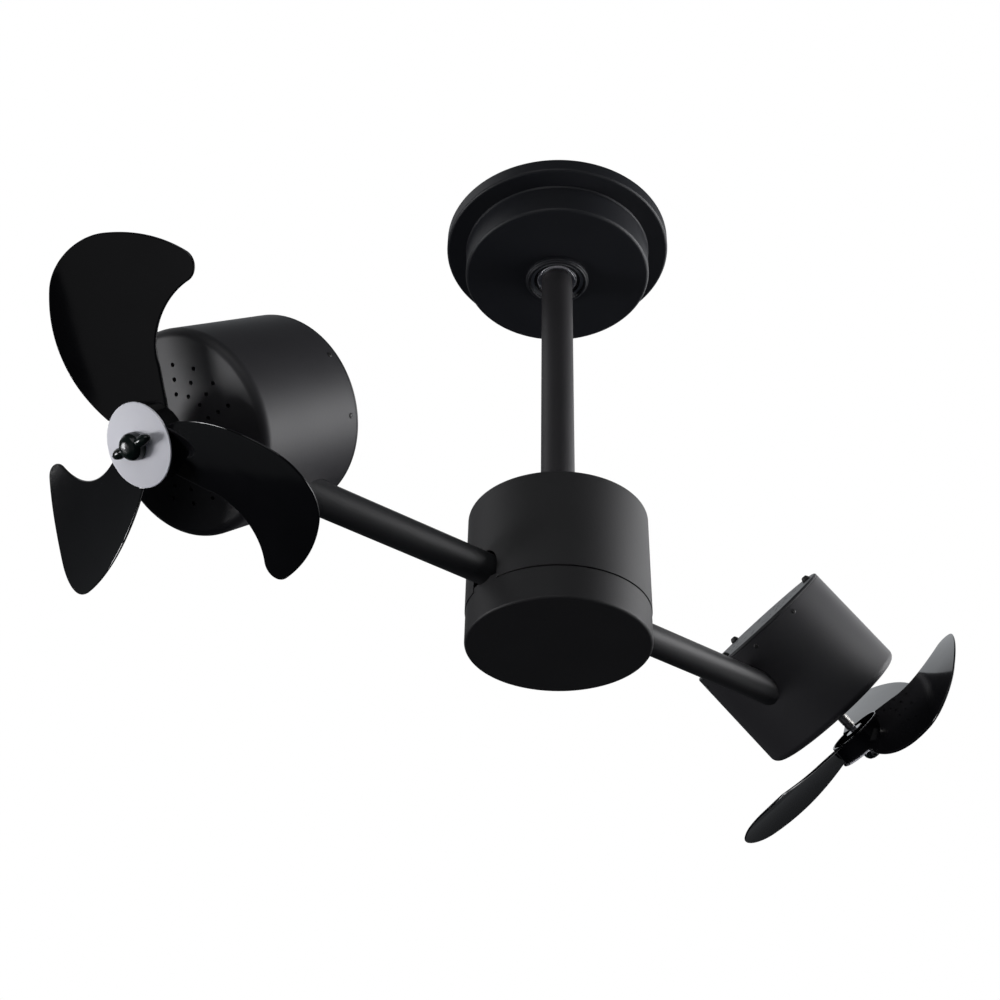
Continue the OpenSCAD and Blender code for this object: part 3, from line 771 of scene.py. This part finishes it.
# drills rings of round holes through a mesh, in rows like spokes
vent_drill = geometry_tree(
    "vent_holes",
    {
        "Geometry": "Geometry",
        "Rows": "Int",
        "First Row": "Float",
        "Rings": "Int",
        "First Ring": "Float",
        "Ring Step": "Float",
        "Hole Radius": "Float",
        "Hole Sides": "Int",
        "Height": "Float",
        "Depth": "Float",
        "Finish": "Material",
    },
    {
        "given": ("NodeGroupInput", {}),
        "spokes": ("GeometryNodeMeshCircle", {}),
        "spin": ("ShaderNodeCombineXYZ", {}),
        "turn": ("GeometryNodeTransform", {}),
        "row": ("GeometryNodeMeshLine", {}),
        "first": ("ShaderNodeCombineXYZ", {}),
        "step": ("ShaderNodeCombineXYZ", {}),
        "here": ("GeometryNodeInputPosition", {}),
        "aim": face_outwards,
        "rows": ("GeometryNodeInstanceOnPoints", {}),
        "real rows": ("GeometryNodeRealizeInstances", {}),
        "drill": ("GeometryNodeMeshCylinder", {}),
        "holes": ("GeometryNodeInstanceOnPoints", {}),
        "real": ("GeometryNodeRealizeInstances", {}),
        "cutter": ("GeometryNodeMeshBoolean", {"operation": "DIFFERENCE", "solver": "MANIFOLD"}),
        "paint": ("GeometryNodeSetMaterial", {}),
        "out": ("NodeGroupOutput", {}),
    },
    (
        ("given.Rows", "spokes.Vertices"),
        ("given.Rings", "row.Count"),
        ("given.First Ring", "spokes.Radius"),
        ("given.Height", "first.Z"),
        ("given.Ring Step", "step.X"),
        ("first.Vector", "row.Start Location"),
        ("step.Vector", "row.Offset"),
        ("given.First Row", "spin.Z"),
        ("spokes.Mesh", "turn.Geometry"),
        ("spin.Vector", "turn.Rotation"),
        ("turn.Geometry", "rows.Points"),
        ("row.Mesh", "rows.Instance"),
        ("here.Position", "aim.Vector"),
        ("aim.Rotation", "rows.Rotation"),
        ("rows.Instances", "real rows.Geometry"),
        ("given.Hole Radius", "drill.Radius"),
        ("given.Hole Sides", "drill.Vertices"),
        ("given.Depth", "drill.Depth"),
        ("real rows.Geometry", "holes.Points"),
        ("drill.Mesh", "holes.Instance"),
        ("holes.Instances", "real.Geometry"),
        ("given.Geometry", "cutter.Mesh 1"),
        ("real.Geometry", "cutter.Mesh 2"),
        ("cutter.Mesh", "paint.Geometry"),
        ("given.Finish", "paint.Material"),
        ("paint.Geometry", "out.Geometry"),
    ),
)


def drill_vents(made, height, depth, finish_of):
    """Drills sixteen rows of three vent holes round the Z axis."""
    values = {
        "Rows": 16,
        "First Row": math.radians(6),
        "Rings": 3,
        "First Ring": 0.0260,
        "Ring Step": 0.00925,
        "Hole Radius": 0.0015,
        "Hole Sides": 20,
        "Height": height,
        "Depth": depth,
        "Finish": finish_of,
    }
    return through_tree(made, vent_drill, values)


def ball_radius(rim, rise):
    """Radius of the ball whose cap has this rim and rise."""
    return (rim**2 + rise**2) / (2 * rise)


def dome(at):
    """Height of the domed face at a radius, from 0 in its middle downwards."""
    ball = ball_radius(shell_r, dome_rise)
    return math.sqrt(ball**2 - at**2) - ball


head_coat = powder_coat("head_powder_coat", (0.018, 0.0175, 0.020), (0.029, 0.028, 0.032), 0.46)
shell_r, shell_in, shell_back, face_in, bush_hole, dome_rise = 67.2, 65.2, -94, -4.5, 4, 2.5
boss_r, arm_fit_r, arm_way_r = 19, 12.05, 12.4
post_turns, post_r, post_out = (12, 132, 252), 6, 0.0605
# the arm's line in the head, from the point it aims at back towards the hub
aim_point = Vector((0, 0.0026, 0.0099))
along_arm = Matrix.Translation(aim_point) @ Matrix.Rotation(math.pi - head_angle, 4, "Y")
boss_end = arm_stop + 3.1
shell_line = rounded(
    [(r, dome(r), 0) for r in (bush_hole, 12, 18, 24, 32, 42, 50, 56, 60)]
    + [
        (shell_r, dome(shell_r) + 0.3, 6.0),
        (shell_r, -60, 0),
        (shell_r, shell_back, 0.3),
        (shell_in, shell_back, 0.3),
        (shell_in, -60, 0),
        (shell_in, face_in, 3.0),
        (bush_hole, face_in, 0),
    ],
    9,
)
for name, head in heads.items():
    side = head["side"]
    head["place"] = (
        Matrix.Translation((side * head["reach"] / 1000, 0, arm_height / 1000))
        @ Matrix.Rotation(math.radians(-head["lean"]), 4, "X")
        @ Matrix.Rotation(side * (math.pi / 2 + head_angle), 4, "Y")
        @ Matrix.Rotation(math.pi if side < 0 else 0, 4, "Z")
        @ Matrix.Translation(-aim_point)
    )
    shell = piece(name + "_shell_drawn", turned(shell_line, 200))
    boss = piece("boss", peg(boss_r, boss_end, boss_end + 60), along_arm)
    cut(boss, piece("inside", peg(shell_in + 1, shell_back, face_in + 1, 200)), "INTERSECT")
    cut(shell, boss, "UNION")
    for turn in post_turns:
        stand = Matrix.Rotation(math.radians(turn), 4, "Z") @ Matrix.Translation((post_out, 0, 0))
        post = peg(post_r, shell_back, shell_back + 12, 40)
        cut(shell, piece("screw_post", post, stand), "UNION")
    cut(shell, piece("arm_bore", peg(arm_fit_r, boss_end - 20, boss_end + 12), along_arm))
    cut(shell, piece("arm_way", peg(arm_way_r, boss_end + 11, boss_end + 80), along_arm))
    drill_vents(shell, -0.002, 0.014, head_coat)
    shell.data.transform(head["place"])
    smooth(shell)
    finish(shell, head_coat, "head_paint", name + "_head", name + "_head_shell")

# Rear lids. A flat cast lid of the shell's own diameter closes its back, with a
# skirt that seats inside the wall. Its vents match those of the face.
def block(low, high):
    """A plain box cutter between two corners in millimetres."""
    mesh = bmesh.new()
    bmesh.ops.create_cube(mesh, size=1.0)
    size, middle = Vector(high) - Vector(low), (Vector(high) + Vector(low)) / 2
    mesh.transform(Matrix.Translation(middle) @ Matrix.Diagonal((*size, 1)))
    return mesh


cap_coat = powder_coat("cap_powder_coat", (0.014, 0.014, 0.016), (0.022, 0.023, 0.026), 0.44)
lid_back, rim_low, skirt_r, skirt_in, skirt_top = -97, -94.05, 65.1, 63.6, -86
cap_line = rounded(
    [
        (0, lid_back, 0),
        (20, lid_back, 0),
        (50, lid_back, 0),
        (shell_r, lid_back, 1.9),
        (shell_r, rim_low, 0.4),
        (skirt_r, rim_low, 0),
        (skirt_r, skirt_top, 0.3),
        (skirt_in, skirt_top, 0.3),
        (skirt_in, shell_back, 0),
        (0, shell_back, 0),
    ],
    8,
    False,
)
notch_in, notch_out, notch_low, notch_top = 52, 72, shell_back + 0.1, skirt_top + 1
post_notch = ((notch_in, -6.4, notch_low), (notch_out, 6.4, notch_top))
arm_notch = ((notch_in, -9.4, notch_low), (notch_out, 12.6, notch_top))
for name, head in heads.items():
    cap = piece(name + "_lid_cast", turned(cap_line, 200, False))
    for turn in post_turns:
        around = Matrix.Rotation(math.radians(turn), 4, "Z")
        cut(cap, piece("notch", block(*post_notch), around))
    cut(cap, piece("arm_notch", block(*arm_notch)))
    drill_vents(cap, -0.0955, 0.008, cap_coat)
    cap.data.transform(head["place"])
    smooth(cap)
    finish(cap, cap_coat, "cap_paint", name + "_head", name + "_rear_cap")

# Lid screws. Three tall pan heads in the lid's back run into the shell's posts,
# and six small ones go through the shell's wall into the lid's skirt.
# stands copies of a part round a circle, facing outwards
screw_ring = geometry_tree(
    "parts_on_a_circle",
    {
        "Part": "Object",
        "Count": "Int",
        "Radius": "Float",
        "First": "Float",
        "Height": "Float",
        "Finish": "Material",
    },
    {
        "given": ("NodeGroupInput", {}),
        "circle": ("GeometryNodeMeshCircle", {}),
        "part": ("GeometryNodeObjectInfo", {}),
        "here": ("GeometryNodeInputPosition", {}),
        "aim": face_outwards,
        "stand": ("GeometryNodeInstanceOnPoints", {}),
        "spin": ("ShaderNodeCombineXYZ", {}),
        "lift": ("ShaderNodeCombineXYZ", {}),
        "place": ("GeometryNodeTransform", {}),
        "real": ("GeometryNodeRealizeInstances", {}),
        "paint": ("GeometryNodeSetMaterial", {}),
        "out": ("NodeGroupOutput", {}),
    },
    (
        ("given.Part", "part.Object"),
        ("given.Count", "circle.Vertices"),
        ("given.Radius", "circle.Radius"),
        ("circle.Mesh", "stand.Points"),
        ("part.Geometry", "stand.Instance"),
        ("here.Position", "aim.Vector"),
        ("aim.Rotation", "stand.Rotation"),
        ("given.First", "spin.Z"),
        ("given.Height", "lift.Z"),
        ("stand.Instances", "place.Geometry"),
        ("lift.Vector", "place.Translation"),
        ("spin.Vector", "place.Rotation"),
        ("place.Geometry", "real.Geometry"),
        ("real.Geometry", "paint.Geometry"),
        ("given.Finish", "paint.Material"),
        ("paint.Geometry", "out.Geometry"),
    ),
)
back_screw = pan_head(3.6, 4.0, 1.9, 10.0)
back_screw.data.transform(Matrix.Rotation(math.pi, 4, "X"))
rim_screw = pan_head(1.9, 0.6, 1.3, 3.4)
rim_screw.data.transform(Matrix.Rotation(math.pi / 2, 4, "Y"))
back_ring = {
    "Part": back_screw,
    "Count": len(post_turns),
    "Radius": 0.058,
    "First": math.radians(post_turns[0]),
    "Height": lid_back / 1000,
    "Finish": black_oxide,
}
rim_seat = Matrix.Translation((shell_r / 1000, 0, -0.0885))
rim_turns = (48, 85, 168, 214, 308, 344)
for name, head in heads.items():
    screws = through_tree(piece(name + "_lid_screw_set", bmesh.new()), screw_ring, back_ring)
    places = [Matrix.Rotation(math.radians(turn), 4, "Z") @ rim_seat for turn in rim_turns]
    add_copies(screws, rim_screw, places)
    screws.data.transform(head["place"])
    smooth(screws)
    finish(screws, black_oxide, "screw_black", name + "_head", name + "_cap_screws")
for spare in (m4_screw, back_screw, rim_screw):
    bpy.data.objects.remove(spare)


# Motors. Cast brackets clamp a stack of laminations wound with enamelled copper,
# and the rotor turns inside it. They show only through the vents.
def wound_copper(name):
    """Enamelled wire: amber metal with fine strands."""
    made, wire, shader = surface(name, {"Metallic": 0.85, "Coat Weight": 0.4})
    where = wire.place()
    strand = wire.noise(where, 900, 1)
    feed(
        wire,
        shader,
        Base_Color=wire.tint(strand, (0.32, 0.11, 0.03), (0.62, 0.27, 0.09)),
        Roughness=0.28 + strand * 0.2,
        Normal=wire.relief(strand, 0.0002, 0.8),
    )
    return made


copper = wound_copper("enamelled_copper")
laminations = cast_alloy("laminated_steel")
for name in heads:
    dress(cast, name + "_motor_front", name + "_motor_rear")
    dress(laminations, name + "_stator_core", name + "_rotor")
    dress(copper, name + "_windings")
    dress(zinc, name + "_motor_bolts")
    dress(race_steel, name + "_rear_bearing", name + "_drive_pin")

# Shaft bushes and shafts. The bush is a bright turned sleeve with a shoulder and
# two grooves, pressed in the face. The shaft runs through it to the propeller.
bush_steel = bright_steel("bush_steel", (0.44, 0.43, 0.41), 0.28)
bush_r, bush_bore, bush_groove_r = 4.2, 3.05, 3.9
bush_back, bush_shoulder, bush_front = -16, 0.05, 17.5
grooves = []
for z in (5.2, 12.4):
    grooves += [(bush_r, z, 0.15), (bush_groove_r, z + 0.3, 0.1)]
    grooves += [(bush_groove_r, z + 1.1, 0.1), (bush_r, z + 1.4, 0.15)]
bush_line = rounded(
    [
        (bush_bore, bush_back, 0.2),
        (bush_groove_r, bush_back, 0.3),
        (bush_groove_r, bush_shoulder, 0),
        (bush_r, bush_shoulder, 0.1),
        *grooves,
        (bush_r, bush_front, 0.4),
        (bush_bore, bush_front, 0.3),
    ],
    3,
)
shaft_r, shaft_back, shaft_front = 3, -60, 46
shaft_line = rounded(
    [
        (0, shaft_back, 0),
        (shaft_r, shaft_back, 0.6),
        (shaft_r, shaft_front, 0.6),
        (0, shaft_front, 0),
    ],
    4,
    False,
)
for name, head in heads.items():
    bush = smooth(piece(name + "_bush_turned", turned(bush_line, 64), head["place"]))
    finish(bush, bush_steel, "bright_steel", name + "_head", name + "_shaft_bush")
    shaft = smooth(piece(name + "_shaft_ground", turned(shaft_line, 48, False), head["place"]))
    finish(shaft, race_steel, "bright_steel", name + "_rotor", name + "_shaft")


# Propellers. One glossy black moulding each: a short open barrel with a boss in
# it, and three hooked blades, curved like a spoon across and rounded at the rim.
def gloss_moulding(name, dark, pale, rough):
    """Polished black plastic: deep gloss, faint sink marks, and a little handling haze."""
    made, wire, shader = surface(name, {"IOR": 1.47, "Specular IOR Level": 0.45})
    where = wire.place()
    haze = wire.noise(where, 34, 4)
    sink = wire.noise(where, 42, 1)
    feed(
        wire,
        shader,
        Base_Color=wire.tint(haze, dark, pale),
        Roughness=rough + haze * 0.07,
        Normal=wire.relief(sink, 0.0004, 0.3),
    )
    return made


def meet(c1, r1, c2, r2, turn):
    """The corner where two circles meet, on the side that turn picks."""
    gap = c2 - c1
    a = (gap.length_squared + r1 * r1 - r2 * r2) / (2 * gap.length)
    u = gap.normalized()
    return c1 + u * a + turn * math.sqrt(r1 * r1 - a * a) * Vector((-u.y, u.x))


def heading(start, end):
    """Direction from one point to another, in radians."""
    return math.atan2(end.y - start.y, end.x - start.x)


def sweep(centre, radius, first, last, steps):
    """Points along an arc, without its last one."""
    turns = [first + (last - first) * i / steps for i in range(steps)]
    return [centre + radius * Vector((math.cos(a), math.sin(a))) for a in turns]


def blade_outline():
    """The blade seen flat: round back edge and tip, hooked trailing corner, hollow front edge."""
    drawn_span, real_span = 260, 262.5
    back, tip, hollow = Vector((73, -77.5)), Vector((29.7, 12.5)), Vector((41.6, -62.6))
    back_r, tip_r, hollow_r, shoulder_r, hook_r = 109.5, 102, 42.4, 33, 10
    shoulder = meet(back, back_r - shoulder_r, tip, tip_r - shoulder_r, -1)
    hook = meet(tip, tip_r - hook_r, hollow, hollow_r + hook_r, 1)
    start = Vector((10, -16))
    root = math.pi - math.acos((back.x - start.x) / back_r)
    line = [start]
    line += sweep(back, back_r, root, heading(back, shoulder), 34)
    line += sweep(shoulder, shoulder_r, heading(back, shoulder), heading(tip, shoulder), 26)
    line += sweep(tip, tip_r, heading(tip, shoulder), heading(tip, hook), 26)
    line += sweep(hook, hook_r, heading(tip, hook), heading(hook, hollow), 22)
    line += sweep(hollow, hollow_r, heading(hollow, hook), math.pi / 2, 30)
    line += [Vector((hollow.x, -20.2))]
    return [p * real_span / drawn_span for p in line]


def blade_mesh(turn):
    """One blade: a slab with a round rim, sliced across and bent to its camber."""
    pitch, camber, thick, seat = math.radians(23.5), 222.0, 2.2, 26.5
    taper, taper_from, taper_over = 0.28, 25, 105
    axis_y, axis_z = -camber * math.sin(pitch), seat + camber * math.cos(pitch)
    mesh = bmesh.new()
    outline = blade_outline()
    solid(mesh, [[mesh.verts.new((p.x, p.y, z)) for p in outline] for z in (0, thick)])
    rim = [e for e in mesh.edges if abs(e.verts[0].co.z - e.verts[1].co.z) < 1e-6]
    bmesh.ops.bevel(
        mesh, geom=rim, offset=1.0, segments=4, profile=0.5, affect="EDGES", clamp_overlap=False
    )
    slices = [((0, y, 0), (0, 1, 0)) for y in range(-66, 34, 3)]
    slices += [((x, 0, 0), (1, 0, 0)) for x in range(20, 130, 12)]
    for spot, across in slices:
        everything = mesh.verts[:] + mesh.edges[:] + mesh.faces[:]
        bmesh.ops.bisect_plane(mesh, geom=everything, plane_co=spot, plane_no=across)
    for v in mesh.verts:
        thin = 1 - taper * max(0, v.co.x - taper_from) / taper_over
        off = thick / 2 + (v.co.z - thick / 2) * thin
        v.co.z = axis_z - math.sqrt((camber - off) ** 2 - (v.co.y - axis_y) ** 2)
    mesh.transform(Matrix.Rotation(turn, 4, "Z"))
    bmesh.ops.recalc_face_normals(mesh, faces=mesh.faces)
    return mesh


blade_black = gloss_moulding(
    "gloss_black_moulding", (0.003, 0.003, 0.0035), (0.006, 0.006, 0.007), 0.06
)
barrel_r, barrel_in, barrel_back, barrel_front = 24.3, 22.3, 21, 36.5
hub_boss_r, hub_bore, hub_back, hub_front = 8, 3.02, 20.5, 37.9
blade_root_r, disc_room_r = 23.4, 27.75
barrel_line = rounded(
    [
        (hub_bore, hub_back, 0),
        (hub_boss_r, hub_back, 0.5),
        (hub_boss_r, barrel_front - 3, 1.0),
        (barrel_in, barrel_front - 3, 1.2),
        (barrel_in, barrel_back, 0.6),
        (barrel_r, barrel_back, 0.8),
        (barrel_r, barrel_front, 0.9),
        (hub_boss_r, barrel_front, 0.4),
        (hub_boss_r, hub_front, 0.4),
        (hub_bore, hub_front, 0),
    ],
    4,
)
for name, head in heads.items():
    propeller = piece(name + "_propeller_moulding", turned(barrel_line, 128))
    for i in range(3):
        blade = piece("blade", blade_mesh(math.radians(head["phase"] + 120 * i)))
        cut(blade, piece("barrel_core", peg(blade_root_r, 0, 90, 96)))
        cut(blade, piece("disc_room", peg(disc_room_r, 36, 90, 96)))
        cut(propeller, blade, "UNION")
    propeller.data.transform(head["place"])
    smooth(propeller, 30)
    finish(propeller, blade_black, "blade_plastic", name + "_rotor", name + "_propeller")


# Nose discs. A shallow spun disc of polished alloy, painted near white as its bright reflection,
# with a rolled rim, that the wing nut holds against the barrel.
def alloy_painted_reflection(name, place):
    """Spun alloy with a painted reflection in its near-white colour; tool rings centred on the
    disc.
    """
    made, wire, shader = surface(name, {"Metallic": 0.05, "Specular IOR Level": 0.25})
    local = wire.node(
        "Mapping",
        {"vector_type": "TEXTURE"},
        {"Vector": wire.place(), "Location": place.to_translation(), "Rotation": place.to_euler()},
    )
    rings = wire.node(
        "TexWave",
        {"wave_type": "RINGS", "rings_direction": "Z"},
        {"Vector": local, "Scale": 900, "Distortion": 1.5, "Detail": 1},
        "Fac",
    )
    haze = wire.noise(wire.place(), 55, 3)
    # painted reflection: near-white, faintly lilac base colour on an almost non-metallic disc
    feed(
        wire,
        shader,
        Base_Color=wire.tint(haze, (0.84, 0.84, 0.91), (0.91, 0.91, 0.96)),
        Roughness=0.50 + haze * 0.08 + rings * 0.03,
        Normal=wire.relief(rings, 0.00002, 0.4),
    )
    return made


disc_r, disc_rise, disc_sheet, disc_top = 26.75, 2, 1.2, 39.7
rings = (3.1, 8, 12, 16, 20, 24)
ball = ball_radius(disc_r, disc_rise)
inner_ball = ball - disc_sheet
top = [(r, disc_top + math.sqrt(ball**2 - r * r) - ball, 0) for r in rings]
rim = [(disc_r, 37.75, 0.5), (disc_r - 0.1, 36.6, 0.4)]
under = [
    (r, disc_top - disc_sheet + math.sqrt(inner_ball**2 - r * r) - inner_ball, 0)
    for r in reversed(rings)
]
disc_line = rounded(top + rim + under, 4)
for name, head in heads.items():
    disc = smooth(piece(name + "_disc_spun", turned(disc_line, 128), head["place"]))
    alloy = alloy_painted_reflection(name + "_alloy_painted_reflection", head["place"])
    finish(disc, alloy, "disc_metal", name + "_rotor", name + "_nose_disc")

# Wing nuts. A dark glossy moulding with a domed body and two thick ears, blended
# together, screwed on the shaft's end.
nut_black = gloss_moulding("gloss_nut_moulding", (0.003, 0.007, 0.006), (0.006, 0.012, 0.010), 0.16)
nut_line = rounded(
    [
        (0, 39.75, 0),
        (9.0, 39.75, 0.5),
        (8.5, 44.6, 2.0),
        (6.9, 47.2, 1.8),
        (4.0, 48.7, 2.0),
        (0, 49.2, 0),
    ],
    6,
    False,
)
ear_shape = Matrix.Translation((10.7, 0, 43.6)) @ Matrix.Diagonal((6.8, 3.6, 3.6, 1))
for name, head in heads.items():
    nut = piece(name + "_wing_nut_moulding", turned(nut_line, 48, False))
    for turn in (0, 180):
        ear = bmesh.new()
        bmesh.ops.create_uvsphere(ear, u_segments=24, v_segments=16, radius=1.0)
        ear.transform(Matrix.Rotation(math.radians(head["nut"] + turn), 4, "Z") @ ear_shape)
        cut(nut, piece("ear", ear), "UNION")
    blend = nut.modifiers.new("blend", "REMESH")
    blend.mode = "VOXEL"
    blend.voxel_size = 0.00045
    ease = nut.modifiers.new("ease", "SMOOTH")
    ease.factor = 0.6
    ease.iterations = 5
    flatten(nut)
    nut.data.transform(head["place"])
    smooth(nut, 60)
    finish(nut, nut_black, "nut_plastic", name + "_rotor", name + "_wing_nut")
